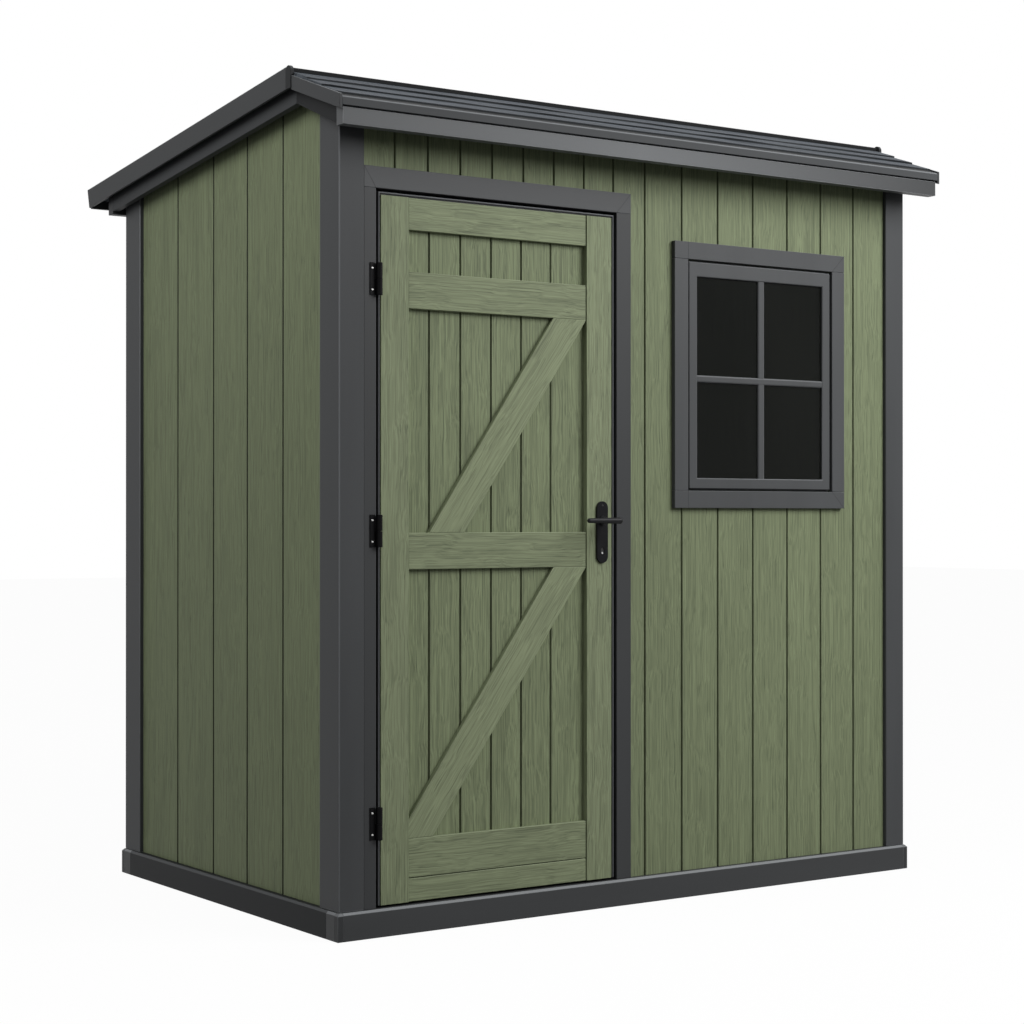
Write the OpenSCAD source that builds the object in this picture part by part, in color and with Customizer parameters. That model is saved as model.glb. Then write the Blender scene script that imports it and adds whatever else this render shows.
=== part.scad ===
// Resin garden shed: plank walls, a braced door on three hinges, a fixed window and a two-slope roof.
// Millimetres. Origin on the ground under the middle of the base, X right along the front, +Y to the back, +Z up.

/* [Base] */
// Width over the base boards
base_w = 2000; // [1700:10:2600]
// Depth over the base boards
base_d = 1300; // [1000:10:2000]
// Height of the base boards
base_h = 72; // [50:1:100]
// Width of a base board on plan
base_board_w = 60; // [55:1:90]
// Chamfer along the top outer edge
base_chamfer = 6; // [2:0.5:12]
// Leg length of a corner cap
corner_cap_w = 17; // [12:1:25]
// Thickness of a corner cap
corner_cap_t = 8; // [4:1:10]
// How far the floor lies under the top of the base boards
floor_drop = 9; // [4:1:20]

/* [Walls] */
// Wall thickness
wall_t = 25; // [18:1:32]
// Plank width on the front and back walls
plank_w = 132.7; // [90:0.1:180]
// Distance of the first front groove from the seam over the door
plank_start = 111; // [60:1:120]
// Plank width over the door
over_plank_w = 101; // [80:1:130]
// How far the front wall laps over the doorway above the header
seam_lap = 4.6; // [2:0.1:8]
// Places of the side grooves, as parts of the way from the front post to the back post
side_grooves = [0.2, 0.387, 0.574, 0.784]; // [0.05:0.001:0.95]
// Width of a groove between planks
groove_w = 7; // [4:0.5:10]
// Depth of a groove between planks
groove_d = 5; // [2:0.5:8]

/* [Corner posts] */
// Setback of a post behind the base boards
post_setback = 8; // [4:1:14]
// How far a post stands out from the walls
post_proud = 12; // [6:1:16]
// Width of a post on the front and back
post_front_w = 74; // [60:1:90]
// Width of a post on the sides
post_side_w = 100; // [70:1:130]

/* [Door frame] */
// Face width of the hinge jamb
hinge_jamb_w = 36; // [32:1:50]
// Face width of the latch jamb
latch_jamb_w = 50; // [40:1:70]
// Width of the doorway
doorway_w = 772.6; // [700:0.1:900]
// Height of the doorway over the base boards
doorway_h = 1839.5; // [1700:0.5:1900]
// Height of the header board
header_h = 55.5; // [40:0.5:70]
// Setback of the frame's face behind the base boards
frame_setback = 10; // [8:0.5:14]
// How far the stop reaches behind the leaf
stop_lap = 9; // [6:1:16]
// Thickness of the stop
stop_t = 12; // [8:1:20]
// Gap between the leaf and the stop
stop_gap = 5; // [5:0.5:8]

/* [Door leaf] */
// Gap round the leaf
door_gap = 8; // [6.5:0.5:12]
// Gap under the leaf
foot_gap = 6.5; // [6.5:0.5:14]
// Setback of the leaf behind the frame's face
leaf_setback = 3; // [1:0.5:6]
// Width of the edge trim
trim_w = 8; // [5:0.5:12]
// Setback of the edge trim behind the stiles
trim_setback = 5; // [2:0.5:10]
// Thickness of the plank panel
door_panel_t = 15; // [10:1:24]
// Thickness of the stiles
stile_t = 17; // [14:1:24]
// Thickness of rails and braces
rail_t = 14; // [10:1:20]
// Width of a stile
stile_w = 84; // [78:1:110]
// Height of the top rail
top_rail_h = 83; // [60:1:110]
// Height of the upper and middle rails
rail_h = 95; // [70:1:120]
// Height of the upper rail's lower edge over the leaf's foot
upper_rail_z = 1531; // [1350:1:1600]
// Height of the middle rail's lower edge over the leaf's foot
middle_rail_z = 857; // [750:1:950]
// Height of the bottom rail
bottom_rail_h = 101; // [70:1:120]
// Height of the kick board
kick_h = 60; // [40:1:80]
// Gap between kick board and bottom rail
kick_gap = 2; // [1:0.5:4]
// Width of a brace, measured level along a rail
brace_level_w = 110; // [80:1:140]
// Height of the lower brace's upper edge over the bottom rail, at the hinge stile
brace_foot = 47; // [20:1:90]
// Distance of the upper brace's foot from the hinge stile
upper_brace_foot = 64; // [30:1:110]
// Plank width on the leaf
door_plank_w = 97.5; // [70:0.5:130]
// Width of the plank beside the hinge stile
door_plank_start = 72; // [50:1:100]

/* [Hinges] */
// Height of a hinge
hinge_h = 83; // [60:1:110]
// Radius of the barrel
barrel_r = 8; // [7:0.25:9]
// Radius of the pin
pin_r = 3.5; // [3:0.25:4.5]
// Running clearance round the pin
pin_clear = 0.08; // [0.03:0.01:0.1]
// Width of the leaf on the jamb
hinge_leaf_w = 14; // [12:1:22]
// Thickness of a hinge leaf
hinge_leaf_t = 2.5; // [1.5:0.25:2.75]
// Gap between the barrel and the leaf on the jamb
hinge_clear = 2; // [1.5:0.25:3]
// Gap between the lower and the upper knuckle
knuckle_gap = 0.5; // [0.3:0.1:1]
// Thickness of the closed top of the upper knuckle
knuckle_cap = 4; // [3:0.5:8]
// Gap over the pin
pin_end = 1; // [0.5:0.1:2]
// Distance of the door's hinge leaf from the lower knuckle
knuckle_clear = 3; // [2:0.5:5]
// Setback of the door's hinge leaf behind the back of the door
hinge_setback = 2; // [1:0.5:5]
// How far the barrel lies nearer the door than the jamb
hinge_shift = 1; // [0.5:0.25:1.25]
// Middle of the lowest hinge over the leaf's foot
low_hinge_z = 211; // [120:1:300]
// Middle of the middle hinge over the leaf's foot
middle_hinge_z = 957; // [800:1:1100]
// Middle of the top hinge under the leaf's top
top_hinge_down = 225; // [120:1:320]

/* [Handle] */
// Distance of the lever's axis from the edge of the leaf
handle_backset = 42.5; // [34:0.5:48]
// Height of the lever's axis over the leaf's foot
handle_z = 983; // [850:1:1100]
// Width of the plate
plate_w = 37; // [34:1:50]
// Height of the plate
plate_h = 169; // [140:1:200]
// Height of the plate over the lever's axis
plate_up = 53; // [35:1:70]
// Thickness of the plate
plate_t = 6; // [4:0.5:9]
// Distance of the key hole under the lever's axis
key_down = 84; // [70:1:90]
// Radius of the key hole's ends
key_r = 5.7; // [5:0.1:7]
// Height of the key hole
key_h = 19; // [16:0.5:24]
// Play round the lock cylinder
key_play = 0.3; // [0.2:0.05:0.6]
// How far the lock cylinder lies behind the plate's face
key_setback = 2; // [1:0.25:3]
// Radius of the lever's spindle
spindle_r = 4; // [3.5:0.25:5]
// How far the spindle reaches into the stile
spindle_in = 10; // [8:1:13]
// Radius of the hole in the stile
spindle_hole_r = 7; // [6:0.5:8]
// Gap between the plate and the collar of the lever
lever_gap = 0.3; // [0.2:0.05:0.8]
// Radius of the lever's collar
collar_r = 12.8; // [11:0.1:16]
// Thickness of the lever's collar
collar_t = 6; // [4:0.5:10]
// Distance of the lever's bar from the plate
lever_out = 65; // [50:1:75]
// Length of the lever's bar from its axis
lever_len = 94; // [80:1:130]
// How far the bar reaches past its axis
lever_heel = 9; // [4:0.5:14]
// Radius of the lever's neck
lever_neck_r = 8; // [6:0.25:9.5]
// Radius of the lever's bar at the heel
lever_r = 8.75; // [6.5:0.25:10]
// Radius of the lever's bar at the tip
lever_tip_r = 6.5; // [5:0.25:8]

/* [Window] */
// Middle of the window from the middle of the shed
window_x = 419; // [350:1:480]
// Height of the casing's lower edge
window_z = 1097; // [900:1:1150]
// Width over the casing
window_w = 650; // [500:1:700]
// Height over the casing
window_h = 753; // [500:1:800]
// Width of a casing board
casing_w = 49; // [35:1:65]
// How far the casing stands out from the wall
casing_t = 14; // [8:1:18]
// Joint between casing boards
casing_joint = 0.6; // [0.3:0.1:1.5]
// Shadow groove between casing and sash
sash_groove = 6; // [3:0.5:10]
// Width of a sash member
sash_w = 30; // [22:1:45]
// Height of the sash's top member
sash_top_h = 41; // [22:1:60]
// Setback of the sash behind the casing's face
sash_setback = 4; // [2:0.5:6]
// Setback of the sash's flange behind the wall's face
flange_setback = 2; // [1:0.5:4]
// How far the sash stays inside the wall's inner face
sash_in = 4; // [2:0.5:6]
// Thickness of the glass
glass_t = 4; // [3:0.5:6]
// Setback of the glass behind the sash's face
glass_setback = 7; // [5:0.5:16]

/* [Roof] */
// Height of the front eave over the door header
eave_up = 146; // [110:1:330]
// Overhang at the front
eave_front = 90; // [60:1:140]
// Overhang at the back
eave_back = 152; // [110:1:220]
// Overhang at each end
eave_side = 47; // [36:1:60]
// Distance of the ridge behind the front of the base
ridge_back = 172; // [120:1:300]
// Pitch of the front slope in degrees
front_pitch = 21.8; // [15:0.01:26]
// Pitch of the rear slope in degrees
rear_pitch = 7.03; // [4:0.01:8]
// Height of the front panel's edge
front_panel_t = 22; // [18:1:30]
// How far the rear panel stands over the front one at the ridge
ridge_step = 4.5; // [3:0.5:16]
// Thickness of the lower edge of a course
course_lip = 5; // [2:0.5:8]
// Number of courses on the front slope
front_courses = 3; // [2:1:5]
// Number of courses on the rear slope
rear_courses = 20; // [8:1:24]
// Thickness of a rake board
rake_t = 8; // [6:1:18]
// Height of a front rake board
front_rake_h = 37; // [28:1:48]
// How far a front rake board stands over the roof
front_rake_rise = 5; // [3:0.5:9]
// How far a front rake board falls behind the rise of the roof at the ridge
front_rake_sink = 13; // [0:0.5:16]
// Height of a rear rake board
rear_rake_h = 58; // [45:1:80]
// How far a rear rake board stands over the roof
rear_rake_rise = 10; // [6:1:28]
// Slant of the rear end of a rake board
rake_slant = 14; // [4:1:24]
// Depth of the front eave strip
eave_strip_d = 30; // [20:1:40]
// Chamfer along the front eave strip
strip_chamfer = 3; // [1:0.5:6]
// Depth of the rear eave strip
rear_strip_d = 22; // [14:1:32]
// Slant of the rear eave strip's face
rear_strip_slant = 5; // [2:0.5:8]
// How far the rear eave strip stays inside the end of the rake
rear_strip_setback = 3; // [2:0.5:6]
// Height of the lower fascia
fascia_h = 46; // [35:1:60]
// Thickness of the lower fascia
fascia_t = 32; // [18:1:36]
// Setback of the lower fascia behind the eave strip
fascia_setback = 5; // [3:0.5:8]
// Setback of the lower fascia's ends behind the rake
fascia_end = 12; // [9:1:20]
// Depth of the shadow groove over the lower fascia
fascia_groove_d = 8; // [4:0.5:12]
// Height of the shadow groove over the lower fascia
fascia_groove_h = 3.5; // [2:0.5:8]
// Distance of the rear fascia behind the base
rear_fascia_out = 16; // [10:1:24]
// How far the rear fascia hangs under the inner rake boards
rear_fascia_drop = 5; // [2:1:10]
// Setback of the inner rake boards behind the rake
inner_rake_setback = 24; // [18:1:26]
// Thickness of an inner rake board
inner_rake_t = 20; // [12:1:22]
// Height of an inner rake board
inner_rake_h = 59; // [40:1:70]
// Joint between the two inner rake boards at the ridge
inner_rake_joint = 0.6; // [0.4:0.1:2]
// Width of the ridge cap on the rear slope
ridge_cap_w = 40; // [25:1:70]
// Thickness of the ridge cap
ridge_cap_t = 6; // [3:0.5:9]
// How far the ridge cap laps over the front slope
ridge_lap = 4; // [2:0.5:8]
// Half width of a ridge end cap, and the radius of its top
end_cap_half = 14; // [10:1:20]
// How far a ridge end cap stands out from the rake
end_cap_proud = 2; // [0.5:0.25:3]
// How far a ridge end cap hangs under the rear rake
end_cap_drop = 2; // [2:1:10]

/* [Hidden] */
$fn = 48;
// Play between the roof and what carries it
seat = 0.2;
// How far a cut runs past what it cuts
cut = 1;
// Higher than any wall
tall = 3000;
front_y = -base_d / 2;
back_y = base_d / 2;
post_x = base_w / 2 - post_setback;
post_y = front_y + post_setback;
wall_x = post_x - post_proud;
wall_y = post_y + post_proud;
in_x = wall_x - wall_t;
in_y = wall_y + wall_t;
bay_x = post_x - post_front_w;
bay_y = post_y + post_side_w;
frame_y = front_y + frame_setback;
door_x0 = -bay_x + hinge_jamb_w;
door_x1 = door_x0 + doorway_w;
door_z1 = base_h + doorway_h;
header_z = door_z1 + header_h;
jamb_x1 = door_x1 + latch_jamb_w;
seam_x = door_x1 - seam_lap;
leaf_x0 = door_x0 + door_gap;
leaf_x1 = door_x1 - door_gap;
leaf_z0 = base_h + foot_gap;
leaf_z1 = door_z1 - door_gap;
leaf_y = frame_y + leaf_setback;
panel_y = leaf_y + stile_t;
rail_y = panel_y - rail_t;
leaf_back = panel_y + door_panel_t;
stop_y = leaf_back + stop_gap;
stop_reach = door_gap + stop_lap;
frame_back = stop_y + stop_t;
green_x0 = leaf_x0 + trim_w;
green_x1 = leaf_x1 - trim_w;
green_z1 = leaf_z1 - trim_w;
bay_x0 = green_x0 + stile_w;
bay_x1 = green_x1 - stile_w;
kick_z = leaf_z0 + kick_h;
bottom_rail_z = kick_z + kick_gap;
bottom_bay_z = bottom_rail_z + bottom_rail_h;
middle_z = leaf_z0 + middle_rail_z;
upper_z = leaf_z0 + upper_rail_z;
brace_slope = (middle_z - bottom_bay_z - brace_foot) / (bay_x1 - brace_level_w - bay_x0);
lower_brace_x = bay_x1 - brace_level_w - (middle_z - bottom_bay_z) / brace_slope;
upper_brace_x = bay_x0 + upper_brace_foot;
hinge_x = (door_x0 + leaf_x0) / 2 + hinge_shift;
hinge_y = frame_y - barrel_r;
hinge_zs = [leaf_z0 + low_hinge_z, leaf_z0 + middle_hinge_z, leaf_z1 - top_hinge_down];
lever_x = leaf_x1 - handle_backset;
lever_z = leaf_z0 + handle_z;
plate_y = leaf_y - plate_t;
key_z = lever_z - key_down;
win_x0 = window_x - window_w / 2;
win_x1 = window_x + window_w / 2;
win_z0 = window_z;
win_z1 = window_z + window_h;
casing_y = wall_y - casing_t;
sash_y = casing_y + sash_setback;
sash_back = in_y - sash_in;
sash_edge = casing_w + sash_groove;
pane_edge = sash_edge + sash_w;
pane_top = sash_edge + sash_top_h;
glass_y = sash_y + glass_setback;
fe = front_y - eave_front;
be = back_y + eave_back;
ry = front_y + ridge_back;
rx = base_w / 2 + eave_side;
panel_x = rx - rake_t;
eave_z = header_z + eave_up;
strip_z = eave_z - front_panel_t;
rear_strip_y = be - rear_strip_d;
fascia_y0 = fe + fascia_setback;
fascia_y1 = fascia_y0 + fascia_t;
fascia_z = strip_z - fascia_h;
rear_fascia_y = back_y + rear_fascia_out;
inner_rake_x = rx - inner_rake_setback;

// Height of the front slope
function front_z(y) = eave_z + (y - fe) * tan(front_pitch);
// Height of the rear slope
function rear_z(y) = front_z(ry) + ridge_step - (y - ry) * tan(rear_pitch);
// Height of the roof's underside
function under_z(y) = y < ry ? front_z(y) - front_panel_t : front_z(ry) - front_panel_t - (y - ry) * tan(rear_pitch);
// Height at which a wall or a board meets the roof
function seat_z(y) = under_z(y) - seat;
// Height of the ridge cap's crest
ridge_top = rear_z(ry) + ridge_cap_t;
// Height of the top of a front rake board
function front_rake_top(y) = front_z(y) + front_rake_rise - front_rake_sink * (y - fe) / (ry - fe);
// Height of the foot of a rear rake board
function rear_rake_foot(y) = rear_z(y) + rear_rake_rise - rear_rake_h;

// A shape drawn in Y and Z, drawn out along X
module along_x(x0, x1) {
    translate([x0, 0, 0]) rotate([90, 0, 90]) linear_extrude(height = x1 - x0) children();
}

// A shape drawn in X and Z, drawn out along Y
module along_y(y0, y1) {
    translate([0, y1, 0]) rotate([90, 0, 0]) linear_extrude(height = y1 - y0) children();
}

// A block between two corners
module block(a, b) {
    translate(a) cube([b[0] - a[0], b[1] - a[1], b[2] - a[2]]);
}

// A rectangle between two corners
module area(a, b) {
    translate(a) square([b[0] - a[0], b[1] - a[1]]);
}

// A groove that runs up a wall whose outer face looks to -Y
module groove(h) {
    linear_extrude(height = h)
        polygon([[-groove_w / 2, -cut], [groove_w / 2, -cut], [groove_w / 2, 0], [groove_w / 6, groove_d],
            [-groove_w / 6, groove_d], [-groove_w / 2, 0]]);
}

// Everything that may stand under the roof
module under_roof(y0, y1) {
    along_x(-rx, rx)
        polygon([[y0, base_h], [y1, base_h], [y1, seat_z(y1)], if (y0 < ry && ry < y1) [ry, seat_z(ry)],
            [y0, seat_z(y0)]]);
}

// The base as one block with its top edge chamfered
module base_block() {
    intersection() {
        along_x(-base_w / 2, base_w / 2)
            polygon([[front_y, 0], [back_y, 0], [back_y, base_h - base_chamfer], [back_y - base_chamfer, base_h],
                [front_y + base_chamfer, base_h], [front_y, base_h - base_chamfer]]);
        along_y(front_y, back_y)
            polygon([[-base_w / 2, 0], [base_w / 2, 0], [base_w / 2, base_h - base_chamfer],
                [base_w / 2 - base_chamfer, base_h], [-base_w / 2 + base_chamfer, base_h],
                [-base_w / 2, base_h - base_chamfer]]);
    }
}

// The place of a corner cap at the front left
module cap_place() {
    block([-base_w / 2 - cut, front_y - cut, -cut],
        [-base_w / 2 + corner_cap_w, front_y + corner_cap_t, base_h + cut]);
    block([-base_w / 2 - cut, front_y - cut, -cut],
        [-base_w / 2 + corner_cap_t, front_y + corner_cap_w, base_h + cut]);
}

module floor_panel() {
    color([0.33, 0.33, 0.33])
        block([-base_w / 2 + base_board_w, front_y + base_board_w, 0],
            [base_w / 2 - base_board_w, back_y - base_board_w, base_h - floor_drop]);
}

module front_plinth() {
    color([0.27, 0.27, 0.29]) difference() {
        intersection() {
            base_block();
            block([-base_w / 2 - cut, front_y - cut, -cut],
                [base_w / 2 + cut, front_y + base_board_w, base_h + cut]);
        }
        cap_place();
        mirror([1, 0, 0]) cap_place();
    }
}

module back_plinth() {
    mirror([0, 1, 0]) front_plinth();
}

module left_plinth() {
    color([0.27, 0.27, 0.29]) intersection() {
        base_block();
        block([-base_w / 2 - cut, front_y + base_board_w, -cut],
            [-base_w / 2 + base_board_w, back_y - base_board_w, base_h + cut]);
    }
}

module right_plinth() {
    mirror([1, 0, 0]) left_plinth();
}

module plinth_corner_caps() {
    for (sx = [0, 1], sy = [0, 1])
        mirror([sx, 0, 0]) mirror([0, sy, 0]) color([0.25, 0.25, 0.27]) intersection() {
            base_block();
            cap_place();
        }
}

// A corner post at the left, for the front or the back
module post(back) {
    color([0.27, 0.27, 0.29]) intersection() {
        mirror([0, back, 0]) linear_extrude(height = tall)
            polygon([[-post_x, post_y], [-bay_x, post_y], [-bay_x, in_y], [-in_x, in_y], [-in_x, bay_y],
                [-post_x, bay_y]]);
        under_roof(post_y - cut, -post_y + cut);
    }
}

module front_left_post() {
    post(0);
}

module front_right_post() {
    mirror([1, 0, 0]) post(0);
}

module back_left_post() {
    post(1);
}

module back_right_post() {
    mirror([1, 0, 0]) post(1);
}

module left_wall() {
    color([0.40, 0.43, 0.32]) difference() {
        intersection() {
            block([-wall_x, bay_y, 0], [-in_x, -bay_y, tall]);
            under_roof(bay_y, -bay_y);
        }
        for (part = side_grooves)
            translate([-wall_x, bay_y * (1 - 2 * part), 0]) rotate([0, 0, -90]) groove(tall);
    }
}

module right_wall() {
    mirror([1, 0, 0]) left_wall();
}

module back_wall() {
    color([0.40, 0.43, 0.32]) difference() {
        intersection() {
            block([-bay_x, -in_y, 0], [bay_x, -wall_y, tall]);
            under_roof(-in_y, -wall_y);
        }
        for (i = [-floor(bay_x / plank_w) : floor(bay_x / plank_w)])
            translate([i * plank_w, -wall_y, 0]) rotate([0, 0, 180]) groove(tall);
    }
}

module front_wall() {
    color([0.45, 0.48, 0.37]) difference() {
        intersection() {
            block([seam_x, wall_y, 0], [bay_x, in_y, tall]);
            under_roof(wall_y, in_y);
        }
        block([seam_x - cut, wall_y - cut, 0], [jamb_x1, in_y + cut, header_z]);
        block([win_x0 + casing_w, wall_y - cut, win_z0 + casing_w],
            [win_x1 - casing_w, in_y + cut, win_z1 - casing_w]);
        translate([seam_x, wall_y, 0]) groove(tall);
        for (x = [seam_x + plank_start : plank_w : bay_x - groove_w])
            translate([x, wall_y, 0]) groove(tall);
    }
}

module front_wall_over_door() {
    color([0.45, 0.48, 0.37]) difference() {
        intersection() {
            block([-bay_x, wall_y, header_z], [seam_x, in_y, tall]);
            under_roof(wall_y, in_y);
        }
        for (x = [seam_x : -over_plank_w : -bay_x + groove_w])
            translate([x, wall_y, 0]) groove(tall);
    }
}

module hinge_jamb() {
    color([0.27, 0.27, 0.29]) translate([0, 0, base_h]) linear_extrude(height = doorway_h)
        polygon([[-bay_x, frame_y], [door_x0, frame_y], [door_x0, stop_y], [door_x0 + stop_reach, stop_y],
            [door_x0 + stop_reach, frame_back], [-bay_x, frame_back]]);
}

module latch_jamb() {
    color([0.27, 0.27, 0.29]) translate([0, 0, base_h]) linear_extrude(height = doorway_h)
        polygon([[door_x1, frame_y], [jamb_x1, frame_y], [jamb_x1, frame_back], [door_x1 - stop_reach, frame_back],
            [door_x1 - stop_reach, stop_y], [door_x1, stop_y]]);
}

module door_header() {
    color([0.27, 0.27, 0.29]) {
        block([-bay_x, frame_y, door_z1], [jamb_x1, frame_back, header_z]);
        block([door_x0 + stop_reach, stop_y, door_z1 - stop_reach],
            [door_x1 - stop_reach, frame_back, door_z1 + cut]);
    }
}

module window_casing() {
    color([0.27, 0.27, 0.29]) {
        block([win_x0, casing_y, win_z0], [win_x1, wall_y, win_z0 + casing_w]);
        block([win_x0, casing_y, win_z1 - casing_w], [win_x1, wall_y, win_z1]);
        block([win_x0, casing_y, win_z0 + casing_w + casing_joint],
            [win_x0 + casing_w, wall_y, win_z1 - casing_w - casing_joint]);
        block([win_x1 - casing_w, casing_y, win_z0 + casing_w + casing_joint],
            [win_x1, wall_y, win_z1 - casing_w - casing_joint]);
    }
}

// A block in the window, with its sides and foot, and its top, that far inside the casing's outline
module window_block(edge, top, y0, y1) {
    block([win_x0 + edge, y0, win_z0 + edge], [win_x1 - edge, y1, win_z1 - top]);
}

module window_sash() {
    color([0.27, 0.27, 0.29]) difference() {
        union() {
            window_block(sash_edge, sash_edge, sash_y, sash_back);
            window_block(casing_w, casing_w, wall_y + flange_setback, sash_back);
        }
        window_block(pane_edge, pane_top, sash_y - cut, sash_back + cut);
    }
}

module window_glass() {
    color([0.15, 0.18, 0.20]) window_block(pane_edge, pane_top, glass_y, glass_y + glass_t);
}

module front_roof_panel() {
    a = fe + eave_strip_d;
    b = ry - ridge_lap;
    s = (b - a) / front_courses;
    color([0.36, 0.37, 0.40]) along_x(-panel_x, panel_x)
        polygon([[ry, front_z(ry)], [ry, under_z(ry)], [a, under_z(a)],
            for (i = [0 : front_courses - 1]) each [[a + i * s, front_z(a + i * s) + course_lip],
                [a + (i + 1) * s, front_z(a + (i + 1) * s)]]]);
}

module rear_roof_panel() {
    a = ry + ridge_cap_w;
    b = rear_strip_y;
    s = (b - a) / rear_courses;
    color([0.36, 0.37, 0.40]) along_x(-panel_x, panel_x)
        polygon([[b, under_z(b)], [ry, under_z(ry)], [ry, rear_z(ry)],
            for (i = [0 : rear_courses - 1]) each [[a + i * s, rear_z(a + i * s)],
                [a + (i + 1) * s, rear_z(a + (i + 1) * s) + course_lip]]]);
}

module ridge_cap() {
    f = ry - ridge_lap;
    e = ry + ridge_cap_w;
    color([0.25, 0.25, 0.28]) along_x(-panel_x, panel_x)
        polygon([[f, front_z(f)], [ry, front_z(ry)], [ry, rear_z(ry)], [e, rear_z(e)], [e, rear_z(e) + ridge_cap_t],
            [ry, ridge_top], [f, ridge_top - ridge_lap / 2]]);
}

// A cap with a round top between the two rake boards at each end of the ridge
module ridge_end_caps() {
    round_z = rear_z(ry) + rear_rake_rise - end_cap_half;
    for (s = [0, 1])
        mirror([s, 0, 0]) color([0.25, 0.25, 0.27]) along_x(-rx - end_cap_proud, -panel_x) {
            translate([ry, round_z]) circle(r = end_cap_half);
            area([ry - end_cap_half, rear_rake_foot(ry) - end_cap_drop], [ry + end_cap_half, round_z]);
        }
}

module front_rake_boards() {
    b = ry - end_cap_half;
    h = front_rake_h;
    for (s = [0, 1])
        mirror([s, 0, 0]) color([0.27, 0.27, 0.29]) along_x(-rx, -panel_x)
            polygon([[fe, front_rake_top(fe)], [b, front_rake_top(b)], [b, front_rake_top(b) - h],
                [fe, front_rake_top(fe) - h]]);
}

module rear_rake_boards() {
    a = ry + end_cap_half;
    e = be - rake_slant;
    r = rear_rake_rise;
    for (s = [0, 1])
        mirror([s, 0, 0]) color([0.27, 0.27, 0.29]) along_x(-rx, -panel_x)
            polygon([[a, rear_z(a) + r], [be, rear_z(be) + r], [e, rear_rake_foot(e)], [a, rear_rake_foot(a)]]);
}

module front_eave_strip() {
    e = fe + eave_strip_d;
    c = strip_chamfer;
    color([0.27, 0.27, 0.29]) along_x(-panel_x, panel_x)
        polygon([[fe, strip_z], [e, strip_z], [e, front_z(e)], [fe + c, front_z(fe + c)], [fe, front_z(fe) - c]]);
}

module rear_eave_strip() {
    foot = rear_rake_foot(be);
    e = be - rear_strip_setback;
    color([0.27, 0.27, 0.29]) along_x(-panel_x, panel_x)
        polygon([[rear_strip_y, foot], [e - rear_strip_slant, foot], [e, rear_z(be)],
            [rear_strip_y, rear_z(rear_strip_y)]]);
}

module front_fascia() {
    g = fascia_y0 + fascia_groove_d;
    top = strip_z - fascia_groove_h;
    x = rx - fascia_end;
    color([0.27, 0.27, 0.29]) along_x(-x, x)
        polygon([[fascia_y0, fascia_z], [fascia_y1, fascia_z], [fascia_y1, strip_z], [g, strip_z], [g, top],
            [fascia_y0, top]]);
}

module rear_fascia() {
    y0 = rear_fascia_y;
    y1 = y0 + fascia_t;
    foot = seat_z(y1) - inner_rake_h - rear_fascia_drop;
    color([0.27, 0.27, 0.29]) along_x(-inner_rake_x, inner_rake_x)
        polygon([[y0, foot], [y1, foot], [y1, seat_z(y1)], [y0, seat_z(y0)]]);
}

// An inner rake board between two places along the roof, as a shape in Y and Z
module inner_rake(a, b) {
    polygon([[a, seat_z(a)], [b, seat_z(b)], [b, seat_z(b) - inner_rake_h], [a, seat_z(a) - inner_rake_h]]);
}

module left_inner_rakes() {
    color([0.27, 0.27, 0.29]) along_x(-inner_rake_x, -inner_rake_x + inner_rake_t) {
        inner_rake(fascia_y1, ry - inner_rake_joint / 2);
        inner_rake(ry + inner_rake_joint / 2, rear_fascia_y);
    }
}

module right_inner_rakes() {
    mirror([1, 0, 0]) left_inner_rakes();
}

// The leaf on the jamb, with the lower knuckle and the pin that stands in it
module hinge_frame_leaves() {
    h = hinge_h / 2;
    x0 = -barrel_r - hinge_clear - hinge_leaf_w;
    y0 = barrel_r - hinge_leaf_t;
    for (z = hinge_zs)
        translate([hinge_x, hinge_y, z]) color([0.10, 0.10, 0.11]) {
            block([x0, y0, -h], [x0 + hinge_leaf_w, barrel_r, h]);
            block([x0, y0, -h], [-hinge_clear / 2, barrel_r, -knuckle_gap]);
            translate([0, 0, -h]) cylinder(r = barrel_r, h = h - knuckle_gap);
            translate([0, 0, -h + cut]) cylinder(r = pin_r, h = hinge_h - cut - knuckle_cap - pin_end);
        }
}

// The leaf on the edge of the door, with the upper knuckle that lifts off the pin
module hinge_door_leaves() {
    h = hinge_h / 2;
    x1 = leaf_x0 - hinge_x;
    y1 = leaf_back - hinge_y - hinge_setback;
    for (z = hinge_zs)
        translate([hinge_x, hinge_y, z]) color([0.10, 0.10, 0.11]) difference() {
            union() {
                cylinder(r = barrel_r, h = h);
                block([x1 - hinge_leaf_t, 0, 0], [x1, y1, h]);
                block([x1 - hinge_leaf_t, barrel_r + knuckle_clear, -h], [x1, y1, h]);
            }
            translate([0, 0, -cut]) cylinder(r = pin_r + pin_clear, h = h - knuckle_cap + cut);
        }
}

module door_panel() {
    color([0.44, 0.47, 0.36]) difference() {
        block([green_x0, panel_y, leaf_z0], [green_x1, leaf_back, green_z1]);
        for (x = [bay_x0 + door_plank_start : door_plank_w : bay_x1 - door_plank_w / 2])
            translate([x, panel_y, 0]) groove(tall);
    }
}

module door_stiles() {
    color([0.45, 0.48, 0.37]) {
        block([green_x0, leaf_y, leaf_z0], [bay_x0, panel_y, green_z1]);
        difference() {
            block([bay_x1, leaf_y, leaf_z0], [green_x1, panel_y, green_z1]);
            translate([lever_x, panel_y + cut, lever_z]) rotate([90, 0, 0])
                cylinder(r = spindle_hole_r, h = stile_t + 2 * cut);
        }
    }
}

module door_rails() {
    color([0.45, 0.48, 0.37]) {
        block([bay_x0, rail_y, green_z1 - top_rail_h], [bay_x1, panel_y, green_z1]);
        block([bay_x0, rail_y, upper_z], [bay_x1, panel_y, upper_z + rail_h]);
        block([bay_x0, rail_y, middle_z], [bay_x1, panel_y, middle_z + rail_h]);
        block([bay_x0, rail_y, bottom_rail_z], [bay_x1, panel_y, bottom_bay_z]);
    }
}

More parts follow.
